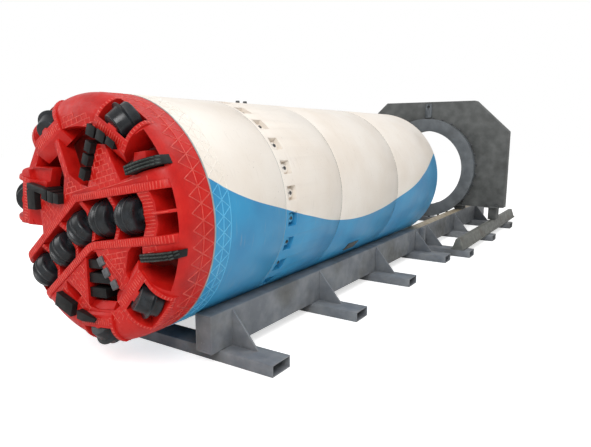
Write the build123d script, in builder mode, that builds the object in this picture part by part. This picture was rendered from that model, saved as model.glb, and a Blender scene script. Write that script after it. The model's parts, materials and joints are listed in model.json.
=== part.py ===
"""Slurry pipe-jacking tunnel boring machine on its launch cradle.

Millimetres, +Z up.  The machine lies along Y with its cutterhead facing -Y.
The origin is on the floor, under the middle of the overall box.
"""
import os
from math import cos, radians, sin, sqrt, tan

from build123d import *

os.makedirs("parts", exist_ok=True)

# ---------------------------------------------------------------- driving sizes
shield_radius = 730.0
shield_wall = 30.0
seat_gap = 0.3
running_gap = 0.05

cutter_standout = 45.0
face_to_shoulder = 120.0
head_band_length = 174.0
head_gap = 6.0
front_can_length = 690.0
steering_can_length = 777.0
middle_can_length = 1142.0
tail_can_length = 1187.0
ring_standoff = 1641.0
thrust_ring_depth = 110.0
plate_depth = 177.0

# ---------------------------------------------------------------- cradle sizes
beam_width = 128.0
beam_height = 245.0
beam_wall = 10.0
beam_inner_x = 438.0
cradle_setback = 119.0
sleeper_height = 77.0
sleeper_width = 185.0
sleeper_wall = 8.0
sleeper_setback = 83.0
sleeper_pitch = 1094.0
front_sleepers = 4
front_sleeper_half_length = 960.0
jacking_setback = 125.0
jacking_pitch = 1130.0
jacking_sleepers = 3
jacking_sleeper_half_length = 1120.0
rail_overhang = 531.0
gusset_thickness = 14.0
gusset_foot = 199.0
gusset_offset = 30.0
gusset_step = 4.0
splice_width = 60.0

front_cradle_length = 2 * sleeper_setback + sleeper_width + (front_sleepers - 1) * sleeper_pitch
jacking_frame_length = jacking_setback + sleeper_width + (jacking_sleepers - 1) * jacking_pitch + rail_overhang

# ---------------------------------------------------------------- stations along Y
overall_length = (
    cutter_standout + face_to_shoulder + head_band_length + head_gap
    + cradle_setback + front_cradle_length + jacking_frame_length
)
y_tips = -overall_length / 2
y_face = y_tips + cutter_standout
y_shoulder = y_face + face_to_shoulder
y_head_back = y_shoulder + head_band_length
y_seam = y_head_back + head_gap
y_flange = y_seam + front_can_length
y_joint = y_flange + steering_can_length
y_weld = y_joint + middle_can_length
y_tail = y_weld + tail_can_length
y_ring = y_tail + ring_standoff
y_plate = y_ring + thrust_ring_depth
y_plate_back = y_plate + plate_depth
y_beam_front = y_seam + cradle_setback
y_splice = y_beam_front + front_cradle_length
y_rail_end = y_splice + jacking_frame_length

beam_top = sleeper_height + beam_height
axis_height = beam_top + sqrt(shield_radius**2 - beam_inner_x**2) + seat_gap
beam_x = beam_inner_x + beam_width / 2
front_stations = [
    y_beam_front + sleeper_setback + sleeper_width / 2 + sleeper_pitch * index for index in range(front_sleepers)
]
jacking_stations = [
    y_splice + jacking_setback + sleeper_width / 2 + jacking_pitch * index for index in range(jacking_sleepers)
]

machine_axis = Axis((0, 0, axis_height), (0, 1, 0))
meridian = Plane(origin=(0, 0, axis_height), x_dir=(0, 1, 0), z_dir=(1, 0, 0))


def facing(y, height=axis_height):
    """Plane across the machine at station y: local x is X, local y is Z, normal is -Y."""
    return Plane(origin=(0, y, height), x_dir=(1, 0, 0), z_dir=(0, -1, 0))


def save(builder, label):
    """Label a finished sub-part and write it to its own STEP file."""
    builder.part.label = label
    export_step(builder.part, f"parts/{label}.step")


# ---------------------------------------------------------------- dished cutterhead
face_radius = 600.0
face_plate = 90.0
rim_ring_inner = 540.0
rim_lip = 24.0
rim_depth = 80.0
cone_setback = 200.0
grid_recess = 25.0
lip_radius = shield_radius - rim_lip
y_rim_back = y_shoulder + rim_depth
y_cone = y_face + cone_setback

# the bent cutter slot: its bend lies on the machine axis
left_arm_angle = 218.0
right_arm_angle = 9.5
slot_half = 118.0
flange_width = 45.0
flange_standout = 6.0
bend_radius = 330.0
arm_reach = 800.0
bend_half_angle = radians(left_arm_angle - 180 - right_arm_angle) / 2
bend_side_angle = (left_arm_angle + right_arm_angle) / 2 + 180

# outlines in the face plane, x and z from the machine axis
muck_openings = {
    "upper_left": [
        (-430, 302), (-382, 382), (-322, 433), (-245, 481), (-157, 267), (-152, 246), (-181, 102),
        (-266, 107), (-345, 125), (-330, 214), (-300, 296),
    ],
    "top": [
        (-197, 503), (-106, 267), (0, 215), (60, 203), (160, 443), (228, 440), (341, 251), (427, 277),
        (700, 360), (700, 560), (520, 567), (405, 442), (380, 420), (150, 538), (105, 530), (0, 540), (-100, 531),
    ],
    "left": [(-426, 62), (-410, -62), (-505, -62), (-520, 55)],
    "lower_right": [
        (370, -130), (395, -101), (485, -86), (485, -144), (760, -98), (700, -357), (535, -272),
        (480, -213), (448, -250), (400, -331), (341, -245),
    ],
    "bottom": [
        (0, -165), (95, -163), (157, -263), (220, -328), (350, -376), (290, -440), (235, -483),
        (80, -506), (0, -500),
    ],
    "window": [(-205, -375), (-65, -446), (-111, -488), (-201, -429)],
}
rim_notches = [
    [(-410, -60), (-800, -60), (-800, -410), (-410, -110)],
    [(-404, 433), (-614, 658), (-828, 352), (-545, 231)],
]
grid_plate = [(-512, 294), (-300, 296), (-330, 214), (-496, 203)]
bar_bracket = [(400, 262), (515, 296), (515, 412), (430, 400)]

# scraper blocks that stand proud of the face: x, z, length, width, turn
proud_standout = 38.0
proud_blocks = [
    (528, 342, 226, 50, 17), (622, -122, 236, 40, 9.5),
    (132, 428, 60, 50, 67), (103, 358, 60, 50, 67), (70, 278, 60, 50, 67),
    (163, 512, 68, 60, -20), (243, 485, 68, 60, -24), (323, 458, 68, 60, -28),
    (-448, 102, 120, 80, 90), (-400, 172, 165, 38, -9),
    (-310, 142, 50, 68, -12), (-252, 130, 50, 68, -8), (-196, 124, 50, 60, -4),
    (-195, -515, 160, 88, -18), (12, -566, 168, 52, -8),
]
# scraper blocks that lie behind the face, across the bottom opening: x, z, length, width, turn
recess_depth = 15.0
recessed_blocks = [(72, -242, 160, 50, 5), (98, -322, 250, 56, 5), (62, -412, 164, 56, 5)]


def arm_direction(angle):
    """Unit vector along a slot arm, in the face plane."""
    return Vector(cos(radians(angle)), sin(radians(angle)))


def arm_corners(angle, half):
    """Corners of a straight slot arm that starts at the mitre of the bend."""
    along = arm_direction(angle)
    across = Vector(-along.Y, along.X) * half
    start = along * (-half * tan(bend_half_angle))
    end = along * arm_reach
    return [start + across, end + across, end - across, start - across]


def slot_sketch(half):
    """The bent cutter slot as a private sketch of the given half width, rounded inside its bend."""
    with BuildSketch(mode=Mode.PRIVATE) as slot:
        for angle in (left_arm_angle, right_arm_angle):
            with BuildLine():
                Polyline(*arm_corners(angle, half), close=True)
            make_face()
        inner_corner = arm_direction(bend_side_angle) * (half / cos(bend_half_angle))
        fillet(slot.vertices().sort_by_distance(inner_corner)[0], bend_radius - half)
    return slot.sketch


def block_sketch(blocks, clearance=0.0):
    """Rectangular footprints in the face plane, widened all round by a clearance."""
    with BuildSketch(mode=Mode.PRIVATE) as footprints:
        for x, z, length, width, turn in blocks:
            with Locations(Location((x, z, 0), (0, 0, turn))):
                Rectangle(length + 2 * clearance, width + 2 * clearance)
    return footprints.sketch


def dish_sketch(proud, reach, back):
    """Half section of the dished head: front raised by proud, cut off at a radius and at a back station."""
    knuckle_y = y_shoulder - face_to_shoulder * cos(radians(45))
    knuckle_r = face_radius + (shield_radius - face_radius) * sin(radians(45))
    with BuildSketch(mode=Mode.PRIVATE) as dish:
        with BuildLine():
            front = Line((y_face - proud, 0), (y_face - proud, face_radius))
            edge = ThreePointArc(
                front @ 1, (knuckle_y - proud * cos(radians(45)), knuckle_r + proud * sin(radians(45))),
                (y_shoulder, shield_radius + proud),
            )
            Polyline(edge @ 1, (back, shield_radius + proud), (back, 0), front @ 0)
        make_face()
        with Locations(((y_face + back) / 2, reach / 2)):
            Rectangle(2 * (back - y_face), reach, mode=Mode.INTERSECT)
    return dish.sketch


# ---------------------------------------------------------------- gauge cutter seats
gauge_places = [
    # angle round the machine axis, radius and setback of the ridge
    (60.0, 650.0, 66.0), (120.0, 620.0, 72.0), (171.0, 616.0, 76.0), (277.0, 640.0, 78.0), (319.0, 602.0, 60.0),
]
gauge_tilt = 36.0
gauge_radius = 110.0
gauge_body_radius = 88.0
gauge_inner_radius = 78.0
gauge_inner_length = 76.0
gauge_outer_length = 58.0
gauge_groove = 24.0
gauge_side_gap = 8.0
gauge_inner_cheek = 45.0
gauge_outer_cheek = 35.0
gauge_end_wall = 25.0
gauge_housing_standout = 10.0
boss_radius = 38.0
gauge_pocket_half = gauge_radius + gauge_side_gap
gauge_box_back = gauge_pocket_half
gauge_box_half = gauge_pocket_half + gauge_end_wall
gauge_pocket_inner = -gauge_inner_length - gauge_side_gap
gauge_pocket_outer = gauge_outer_length + gauge_side_gap
gauge_box_inner = gauge_pocket_inner - gauge_inner_cheek
gauge_box_outer = gauge_pocket_outer + gauge_outer_cheek


def gauge_plane(place, lift=0.0):
    """Plane of a gauge cutter: local x along its axle, local y around, normal out and forward."""
    angle, ridge_radius, ridge_setback = place
    outward = Vector(cos(radians(angle)), 0, sin(radians(angle)))
    tilt = radians(gauge_tilt)
    axle = outward * sin(tilt) + Vector(0, cos(tilt), 0)
    away = outward * cos(tilt) - Vector(0, sin(tilt), 0)
    centre = outward * ridge_radius + Vector(0, y_face + ridge_setback, axis_height)
    return Plane(origin=centre + away * lift, x_dir=axle, z_dir=away)


def gauge_rectangle(inner, outer, half):
    """Private rectangle in a gauge cutter's plane, from one axle station to another."""
    with BuildSketch(mode=Mode.PRIVATE) as area:
        with Locations(((inner + outer) / 2, 0)):
            Rectangle(outer - inner, 2 * half)
    return area.sketch


with BuildPart() as head_face:
    with BuildSketch(meridian):
        add(dish_sketch(0, shield_radius, y_rim_back))
        with BuildLine():
            Polyline(
                (y_face + face_plate, 0), (y_face + face_plate, rim_ring_inner), (y_rim_back, rim_ring_inner),
                (y_rim_back, 0), close=True,
            )
        make_face(mode=Mode.SUBTRACT)
    revolve(axis=machine_axis)
    with BuildSketch(facing(y_rim_back)):
        for outline in muck_openings.values():
            with BuildLine():
                Polyline(*outline, close=True)
            make_face()
        add(slot_sketch(slot_half + flange_width + seat_gap))
        Circle(lip_radius, mode=Mode.INTERSECT)
    extrude(amount=y_rim_back - y_tips, mode=Mode.SUBTRACT)
    with BuildSketch(facing(y_rim_back)):
        for outline in (*rim_notches, arm_corners(left_arm_angle, slot_half + flange_width + seat_gap)):
            with BuildLine():
                Polyline(*outline, close=True)
            make_face()
    extrude(amount=y_rim_back - y_tips, mode=Mode.SUBTRACT)
    with BuildSketch(facing(y_face + grid_recess)):
        with BuildLine():
            Polyline(*grid_plate, close=True)
        make_face()
    extrude(amount=cutter_standout, mode=Mode.SUBTRACT)
    with BuildSketch(facing(y_rim_back)):
        with BuildLine():
            Polyline(*bar_bracket, close=True)
        make_face()
    extrude(amount=y_rim_back - y_face - grid_recess)
    for place in gauge_places:
        with BuildSketch(gauge_plane(place, -gauge_box_back - seat_gap)):
            add(gauge_rectangle(gauge_box_inner - seat_gap, gauge_box_outer + seat_gap, gauge_box_half + seat_gap))
        extrude(amount=3 * gauge_box_back, mode=Mode.SUBTRACT)
    with BuildSketch(facing(y_face + face_plate)):
        add(block_sketch(proud_blocks, seat_gap))
    extrude(amount=face_plate + cutter_standout, mode=Mode.SUBTRACT)
    with BuildSketch(facing(y_face + face_plate)):
        add(block_sketch(recessed_blocks, seat_gap))
    extrude(amount=face_plate - recess_depth, mode=Mode.SUBTRACT)
save(head_face, "head_face")

with BuildPart() as face_scrapers:
    with BuildSketch(facing(y_face + face_plate)):
        add(block_sketch(proud_blocks))
    extrude(amount=face_plate + cutter_standout)
    with BuildSketch(meridian):
        add(dish_sketch(proud_standout, shield_radius, y_rim_back))
    revolve(axis=machine_axis, mode=Mode.INTERSECT)
    for place in gauge_places:
        with BuildSketch(gauge_plane(place)):
            add(gauge_rectangle(gauge_box_inner - seat_gap, gauge_box_outer + seat_gap, gauge_box_half + seat_gap))
        extrude(amount=2 * gauge_box_back, both=True, mode=Mode.SUBTRACT)
    with BuildSketch(facing(y_face + face_plate - seat_gap)):
        add(block_sketch(recessed_blocks))
    extrude(amount=face_plate - recess_depth - 2 * seat_gap)
save(face_scrapers, "face_scrapers")

# ---------------------------------------------------------------- cutterhead body behind the face
cone_front_radius = 430.0
cone_edge = 40.0
shaft_radius = 160.0
bulkhead_setback = 150.0
bulkhead_thickness = 60.0
shaft_end_gap = 10.0
y_bulkhead = y_seam + bulkhead_setback
y_drive = y_bulkhead + bulkhead_thickness

with BuildPart() as head_band:
    with BuildSketch(facing(y_head_back)):
        Circle(shield_radius)
        Circle(lip_radius, mode=Mode.SUBTRACT)
    extrude(amount=y_head_back - y_rim_back)
save(head_band, "head_band")

with BuildPart() as slot_housing:
    with BuildSketch(facing(y_cone)):
        add(slot_sketch(slot_half + flange_width))
        add(slot_sketch(slot_half), mode=Mode.SUBTRACT)
    extrude(amount=cone_setback + flange_standout)
    with BuildSketch(meridian):
        add(dish_sketch(flange_standout, lip_radius - seat_gap, y_cone))
    revolve(axis=machine_axis, mode=Mode.INTERSECT)
save(slot_housing, "slot_housing")

with BuildPart() as crusher_cone:
    with BuildSketch(meridian):
        with BuildLine():
            Polyline(
                (y_cone, 0), (y_cone, cone_front_radius), (y_head_back - cone_edge, lip_radius - seat_gap),
                (y_head_back, lip_radius - seat_gap), (y_head_back, shaft_radius),
                (y_drive - shaft_end_gap, shaft_radius), (y_drive - shaft_end_gap, 0), close=True,
            )
        make_face()
    revolve(axis=machine_axis)
save(crusher_cone, "crusher_cone")

# ---------------------------------------------------------------- disc cutters in the slot
disc_radius = 110.0
disc_side_radius = 92.0
disc_valley_radius = 95.0
disc_half_width = 74.0
ridge_offset = 22.0
saddle_thickness = 32.0
saddle_dip = 28.0
middle_saddle = 30.0
left_saddles = (200.0, 450.0, 700.0)
right_saddle = 260.0
end_saddle = 485.0
end_saddle_thickness = 95.0
bay_web = 16.0
middle_angle = (left_arm_angle - 180 + right_arm_angle) / 2
disc_centre_y = y_tips + disc_radius


def arm_spot(angle, distance):
    """Point on a slot arm's centre line, in the face plane."""
    return arm_direction(angle) * distance


def axle_plane(angle, distance, turn=None):
    """Plane across the slot: local z along the axle, local x to the front, local y across the slot."""
    spot = arm_spot(angle, distance)
    along = arm_direction(angle if turn is None else turn)
    return Plane(
        origin=(spot.X, disc_centre_y, axis_height + spot.Y), x_dir=(0, -1, 0), z_dir=(along.X, 0, along.Y)
    )


disc_places = [
    # name, arm angle, saddle nearer the axis, saddle further out
    ("disc_cutter_1", left_arm_angle, left_saddles[1], left_saddles[2]),
    ("disc_cutter_2", left_arm_angle, left_saddles[0], left_saddles[1]),
    ("disc_cutter_3", left_arm_angle, -middle_saddle, left_saddles[0]),
    ("disc_cutter_4", right_arm_angle, middle_saddle, right_saddle),
    ("disc_cutter_5", right_arm_angle, right_saddle, end_saddle),
]
saddle_planes = [
    # plane across the slot, thickness
    *[(axle_plane(left_arm_angle, distance), saddle_thickness) for distance in left_saddles],
    (axle_plane(right_arm_angle, middle_saddle, middle_angle), saddle_thickness),
    (axle_plane(right_arm_angle, right_saddle), saddle_thickness),
    (axle_plane(right_arm_angle, end_saddle + end_saddle_thickness / 2), end_saddle_thickness),
]

for name, angle, near, far in disc_places:
    seat = axle_plane(angle, (near + far) / 2)
    with BuildPart() as disc:
        with BuildSketch(Plane(origin=seat.origin, x_dir=seat.z_dir, z_dir=seat.y_dir)):
            with BuildLine():
                Polyline(
                    (-disc_half_width, 0), (-disc_half_width, disc_side_radius), (-ridge_offset, disc_radius),
                    (0, disc_valley_radius), (ridge_offset, disc_radius), (disc_half_width, disc_side_radius),
                    (disc_half_width, 0), close=True,
                )
            make_face()
        revolve(axis=Axis(seat.origin, seat.z_dir))
    save(disc, name)

saddle_front = disc_radius - cutter_standout
saddle_back = saddle_front - cone_setback
with BuildPart() as cutter_saddles:
    for plane, thickness in saddle_planes:
        with BuildSketch(plane):
            with BuildLine():
                Polyline(
                    (saddle_front, slot_half), (saddle_front - saddle_dip, slot_half / 2),
                    (saddle_front - saddle_dip, -slot_half / 2), (saddle_front, -slot_half),
                    (saddle_back, -slot_half), (saddle_back, slot_half), close=True,
                )
            make_face()
        extrude(amount=thickness / 2, both=True)
    for name, angle, near, far in disc_places:
        seat = axle_plane(angle, (near + far) / 2)
        for side in (-1, 1):
            with BuildSketch(seat.offset(side * (disc_half_width + seat_gap))):
                Circle(boss_radius)
            extrude(amount=side * ((far - near) / 2 - disc_half_width))
    web_start = axle_plane(right_arm_angle, end_saddle + end_saddle_thickness)
    with BuildSketch(web_start):
        with Locations(((saddle_front + saddle_back) / 2, 0)):
            Rectangle(saddle_front - saddle_back, bay_web)
    extrude(amount=shield_radius - end_saddle - end_saddle_thickness)
    with BuildSketch(facing(y_cone)):
        add(slot_sketch(slot_half - seat_gap))
    extrude(amount=cone_setback, mode=Mode.INTERSECT)
    with BuildSketch(meridian):
        add(dish_sketch(0, lip_radius - seat_gap, y_cone))
    revolve(axis=machine_axis, mode=Mode.INTERSECT)
save(cutter_saddles, "cutter_saddles")

# ---------------------------------------------------------------- gauge cutters round the shoulder
with BuildPart() as gauge_housings:
    for place in gauge_places:
        with BuildSketch(gauge_plane(place, -gauge_box_back)):
            add(gauge_rectangle(gauge_box_inner, gauge_box_outer, gauge_box_half))
            add(gauge_rectangle(gauge_pocket_inner, gauge_pocket_outer, gauge_pocket_half), mode=Mode.SUBTRACT)
        extrude(amount=3 * gauge_box_back)
        middle = gauge_plane(place)
        across = Plane(origin=middle.origin, x_dir=middle.y_dir, z_dir=middle.x_dir)
        for face, wall in (
            (-gauge_inner_length - seat_gap, gauge_pocket_inner), (gauge_outer_length + seat_gap, gauge_pocket_outer)
        ):
            with BuildSketch(across.offset(face)):
                Circle(boss_radius)
            extrude(amount=wall - face)
    with BuildSketch(meridian):
        add(dish_sketch(gauge_housing_standout, shield_radius, y_head_back))
    revolve(axis=machine_axis, mode=Mode.INTERSECT)
save(gauge_housings, "gauge_housings")

for index, place in enumerate(gauge_places, start=1):
    seat = gauge_plane(place)
    with BuildPart() as gauge:
        with BuildSketch(Plane(origin=seat.origin, x_dir=seat.x_dir, z_dir=-seat.y_dir)):
            with BuildLine():
                Polyline(
                    (-gauge_inner_length, 0), (-gauge_inner_length, gauge_inner_radius),
                    (-gauge_groove, gauge_body_radius), (0, gauge_radius), (gauge_groove, gauge_body_radius),
                    (gauge_outer_length, gauge_body_radius),
                    (gauge_outer_length, 0), close=True,
                )
            make_face()
        revolve(axis=Axis(seat.origin, seat.x_dir))
    save(gauge, f"gauge_cutter_{index}")

# ---------------------------------------------------------------- front shield body
shell_inner = shield_radius - shield_wall
pocket_ring_length = 140.0
pocket_ring_wall = 90.0
pocket_count = 26
pocket_angle = -5.1
pocket_length = 100.0
pocket_width = 95.0
pocket_depth = 55.0
bolt_radius = 18.0
bolt_head = 24.0
bolt_setback = 36.0

with BuildPart() as front_can:
    with BuildSketch(facing(y_flange)):
        Circle(shield_radius)
        Circle(shell_inner, mode=Mode.SUBTRACT)
    extrude(amount=front_can_length)
save(front_can, "front_can")

with BuildPart() as steering_can:
    with BuildSketch(meridian):
        with BuildLine():
            Polyline(
                (y_flange, shield_radius), (y_joint, shield_radius), (y_joint, shell_inner),
                (y_flange + pocket_ring_length, shell_inner),
                (y_flange + pocket_ring_length, shield_radius - pocket_ring_wall),
                (y_flange, shield_radius - pocket_ring_wall), close=True,
            )
        make_face()
    revolve(axis=machine_axis)
    for index in range(pocket_count):
        turn = radians(pocket_angle + index * 360 / pocket_count)
        outward = Vector(cos(turn), 0, sin(turn))
        mouth = Vector(0, y_flange + bolt_setback + pocket_length / 2, axis_height) + outward * shield_radius
        with BuildSketch(Plane(origin=mouth, x_dir=(0, 1, 0), z_dir=outward)):
            Rectangle(pocket_length, pocket_width)
        extrude(amount=-pocket_depth, mode=Mode.SUBTRACT)
save(steering_can, "steering_can")

with BuildPart() as pocket_bolts:
    with BuildSketch(facing(y_flange + bolt_setback + bolt_head)):
        with PolarLocations(shield_radius - pocket_depth / 2, pocket_count, start_angle=pocket_angle):
            RegularPolygon(bolt_radius, 6)
    extrude(amount=bolt_head)
save(pocket_bolts, "pocket_bolts")

with BuildPart() as bulkhead:
    with BuildSketch(facing(y_drive)):
        Circle(shell_inner - seat_gap)
        Circle(shaft_radius + running_gap, mode=Mode.SUBTRACT)
    extrude(amount=bulkhead_thickness)
save(bulkhead, "bulkhead")

drive_width = 760.0
drive_length = 640.0
with BuildPart() as main_drive:
    with BuildSketch(facing(y_drive + drive_length)):
        Rectangle(drive_width, drive_width)
    extrude(amount=drive_length)
save(main_drive, "main_drive")

# ---------------------------------------------------------------- rear shield body
spigot_length = 150.0
spigot_gap = 18.0
spigot_radius = shell_inner - spigot_gap
spigot_wall = 40.0
joint_gap = 6.0
y_middle = y_joint + joint_gap

with BuildPart() as middle_can:
    with BuildSketch(facing(y_weld)):
        Circle(shield_radius)
        Circle(shell_inner, mode=Mode.SUBTRACT)
    extrude(amount=middle_can_length - joint_gap)
save(middle_can, "middle_can")

with BuildPart() as joint_spigot:
    with BuildSketch(meridian):
        with BuildLine():
            Polyline(
                (y_middle, shell_inner - seat_gap), (y_middle + spigot_length, shell_inner - seat_gap),
                (y_middle + spigot_length, spigot_radius - spigot_wall),
                (y_middle - spigot_length, spigot_radius - spigot_wall),
                (y_middle - spigot_length, spigot_radius), (y_middle, spigot_radius), close=True,
            )
        make_face()
    revolve(axis=machine_axis)
save(joint_spigot, "joint_spigot")

with BuildPart() as tail_can:
    with BuildSketch(facing(y_tail)):
        Circle(shield_radius)
        Circle(shell_inner, mode=Mode.SUBTRACT)
    extrude(amount=tail_can_length)
save(tail_can, "tail_can")

tail_bulkhead_setback = 600.0
tail_bulkhead_thickness = 40.0
slurry_radius = 75.0
slurry_x = 260.0
slurry_z = -330.0
slurry_length = 420.0
slurry_wall = 8.0
y_tail_bulkhead = y_tail - tail_bulkhead_setback

with BuildPart() as tail_bulkhead:
    with BuildSketch(facing(y_tail_bulkhead + tail_bulkhead_thickness)):
        Circle(shell_inner - seat_gap)
        with Locations((slurry_x, slurry_z), (-slurry_x, slurry_z)):
            Circle(slurry_radius + seat_gap, mode=Mode.SUBTRACT)
    extrude(amount=tail_bulkhead_thickness)
save(tail_bulkhead, "tail_bulkhead")

with BuildPart() as slurry_pipes:
    with BuildSketch(facing(y_tail_bulkhead + slurry_length)):
        with Locations((slurry_x, slurry_z), (-slurry_x, slurry_z)):
            Circle(slurry_radius)
            Circle(slurry_radius - slurry_wall, mode=Mode.SUBTRACT)
    extrude(amount=slurry_length)
save(slurry_pipes, "slurry_pipes")

# ---------------------------------------------------------------- cradle
for label, side in (("beam_right", 1), ("beam_left", -1)):
    with BuildPart() as beam:
        with BuildSketch(facing(y_rail_end, sleeper_height + beam_height / 2)):
            with Locations((side * beam_x, 0)):
                Rectangle(beam_width, beam_height)
                Rectangle(beam_width - 2 * beam_wall, beam_height - 2 * beam_wall, mode=Mode.SUBTRACT)
        extrude(amount=y_rail_end - y_beam_front)
    save(beam, label)

sleeper_places = [(station, front_sleeper_half_length) for station in front_stations]
sleeper_places += [(station, jacking_sleeper_half_length) for station in jacking_stations]
for index, (station, half_length) in enumerate(sleeper_places, start=1):
    with BuildPart() as sleeper:
        with BuildSketch(Plane(origin=(half_length, station, sleeper_height / 2), x_dir=(0, 1, 0), z_dir=(1, 0, 0))):
            Rectangle(sleeper_width, sleeper_height)
            Rectangle(sleeper_width - 2 * sleeper_wall, sleeper_height - 2 * sleeper_wall, mode=Mode.SUBTRACT)
        extrude(amount=-2 * half_length)
    save(sleeper, f"sleeper_{index}")

beam_outer_x = beam_inner_x + beam_width
gusset_height = beam_height - gusset_step
for label, side in (("gussets_right", 1), ("gussets_left", -1)):
    with BuildPart() as gussets:
        for station, half_length in sleeper_places:
            with BuildSketch(facing(station + gusset_offset, sleeper_height)):
                with BuildLine():
                    Polyline(
                        (side * beam_outer_x, 0), (side * (beam_outer_x + gusset_foot), 0),
                        (side * (beam_outer_x + gusset_foot), gusset_step),
                        (side * beam_outer_x, gusset_height), close=True,
                    )
                make_face()
            extrude(amount=gusset_thickness / 2, both=True)
        with BuildSketch(facing(y_splice + gusset_thickness, sleeper_height)):
            with Locations((side * (beam_outer_x + splice_width / 2), gusset_height / 2)):
                Rectangle(splice_width, gusset_height)
        extrude(amount=2 * gusset_thickness)
    save(gussets, label)

outer_rail_x = 975.0
outer_rail_foot = 150.0
outer_rail_slope = 72.0
outer_rail_foot_height = 18.0
outer_rail_height = 130.0
y_outer_rail = y_splice + jacking_setback
for label, side in (("outer_rail_right", 1), ("outer_rail_left", -1)):
    with BuildPart() as rail:
        with BuildSketch(facing(y_rail_end, sleeper_height)):
            with Locations((side * outer_rail_x, outer_rail_foot_height / 2)):
                Rectangle(outer_rail_foot, outer_rail_foot_height)
            with Locations((side * outer_rail_x, outer_rail_height / 2)):
                Trapezoid(outer_rail_foot - outer_rail_foot_height, outer_rail_height, outer_rail_slope)
        extrude(amount=y_rail_end - y_outer_rail)
    save(rail, label)

# ---------------------------------------------------------------- thrust plate on the rails
plate_half_width = 1120.0
plate_top = 958.0
plate_shoulder = 530.0
plate_top_half = 657.5
plate_bottom = -526.0
plate_skin = 30.0
ring_inner = 541.0
ring_outer = 713.0
shoe_inset = 10.0
outer_shoe_width = 110.0

plate_outline = [
    (-plate_half_width, plate_bottom), (plate_half_width, plate_bottom), (plate_half_width, plate_shoulder),
    (plate_top_half, plate_top), (-plate_top_half, plate_top), (-plate_half_width, plate_shoulder),
]

with BuildPart() as thrust_plate:
    with BuildSketch(facing(y_plate_back)):
        with BuildLine():
            Polyline(*plate_outline, close=True)
        make_face()
        Circle(ring_inner, mode=Mode.SUBTRACT)
    extrude(amount=plate_depth)
    with BuildSketch(facing(y_plate_back)):
        with BuildLine():
            Polyline(*plate_outline, close=True)
        make_face()
        offset(amount=-plate_skin, kind=Kind.INTERSECTION, mode=Mode.REPLACE)
        Circle(ring_inner + plate_skin, mode=Mode.SUBTRACT)
    extrude(amount=plate_depth - plate_skin, mode=Mode.SUBTRACT)
save(thrust_plate, "thrust_plate")

with BuildPart() as thrust_ring:
    with BuildSketch(facing(y_plate)):
        Circle(ring_outer)
        Circle(ring_inner, mode=Mode.SUBTRACT)
    extrude(amount=thrust_ring_depth)
save(thrust_ring, "thrust_ring")

plate_base = axis_height + plate_bottom
with BuildPart() as slide_shoes:
    for side in (-1, 1):
        with BuildSketch(facing(y_plate_back, beam_top + seat_gap)):
            with Locations((side * beam_x, (plate_base - beam_top - seat_gap) / 2)):
                Rectangle(beam_width - 2 * shoe_inset, plate_base - beam_top - seat_gap)
        extrude(amount=plate_depth)
        with BuildSketch(facing(y_plate_back, sleeper_height + outer_rail_height + seat_gap)):
            height = plate_base - sleeper_height - outer_rail_height - seat_gap
            with Locations((side * outer_rail_x, height / 2)):
                Rectangle(outer_shoe_width, height)
        extrude(amount=plate_depth)
save(slide_shoes, "slide_shoes")

lug_width = 92.0
lug_thickness = 30.0
lug_height = 200.0
lug_hole_radius = 22.0
lug_gap = 20.0
lug_corner = 20.0
lug_base = ring_outer + lug_gap
with BuildPart() as lifting_lug:
    with BuildSketch(facing(y_plate)):
        with Locations((0, lug_base + lug_height / 2)):
            RectangleRounded(lug_width, lug_height, lug_corner)
        with Locations((0, lug_base + lug_height - lug_width / 2)):
            Circle(lug_hole_radius, mode=Mode.SUBTRACT)
    extrude(amount=lug_thickness)
save(lifting_lug, "lifting_lug")
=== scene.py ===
"""Finishes for a pipe-jacking tunnel boring machine on its launch cradle.  Metres."""
import json
import math

import bpy
from mathutils import Matrix, Vector
from mathutils.bvhtree import BVHTree

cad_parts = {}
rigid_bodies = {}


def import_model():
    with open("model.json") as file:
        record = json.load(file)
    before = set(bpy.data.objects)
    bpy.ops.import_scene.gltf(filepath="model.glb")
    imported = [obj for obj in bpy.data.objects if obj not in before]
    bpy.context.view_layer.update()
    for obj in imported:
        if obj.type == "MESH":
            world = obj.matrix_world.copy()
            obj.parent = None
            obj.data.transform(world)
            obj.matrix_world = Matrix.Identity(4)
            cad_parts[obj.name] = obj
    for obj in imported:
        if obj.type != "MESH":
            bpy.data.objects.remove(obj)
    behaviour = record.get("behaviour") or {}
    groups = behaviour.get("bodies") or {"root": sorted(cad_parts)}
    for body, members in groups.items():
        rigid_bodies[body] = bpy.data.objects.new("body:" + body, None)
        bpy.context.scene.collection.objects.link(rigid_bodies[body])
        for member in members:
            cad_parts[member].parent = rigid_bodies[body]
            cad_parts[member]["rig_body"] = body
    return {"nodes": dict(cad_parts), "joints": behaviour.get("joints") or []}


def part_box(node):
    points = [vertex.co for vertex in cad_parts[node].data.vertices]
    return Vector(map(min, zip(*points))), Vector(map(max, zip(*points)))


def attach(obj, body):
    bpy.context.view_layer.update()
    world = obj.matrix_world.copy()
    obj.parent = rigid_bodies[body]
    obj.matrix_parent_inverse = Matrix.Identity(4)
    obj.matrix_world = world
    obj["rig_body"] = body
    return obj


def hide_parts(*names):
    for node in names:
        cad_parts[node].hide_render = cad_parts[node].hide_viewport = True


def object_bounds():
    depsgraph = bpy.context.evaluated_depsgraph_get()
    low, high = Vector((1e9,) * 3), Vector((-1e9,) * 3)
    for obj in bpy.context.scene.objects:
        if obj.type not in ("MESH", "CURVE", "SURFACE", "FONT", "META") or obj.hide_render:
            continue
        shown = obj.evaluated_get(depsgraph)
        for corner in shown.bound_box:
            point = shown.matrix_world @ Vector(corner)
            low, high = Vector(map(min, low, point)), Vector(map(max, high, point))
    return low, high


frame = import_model()
nodes = frame["nodes"]
joints = {joint["name"]: joint for joint in frame["joints"]}
solid_low, solid_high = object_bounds()

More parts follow.
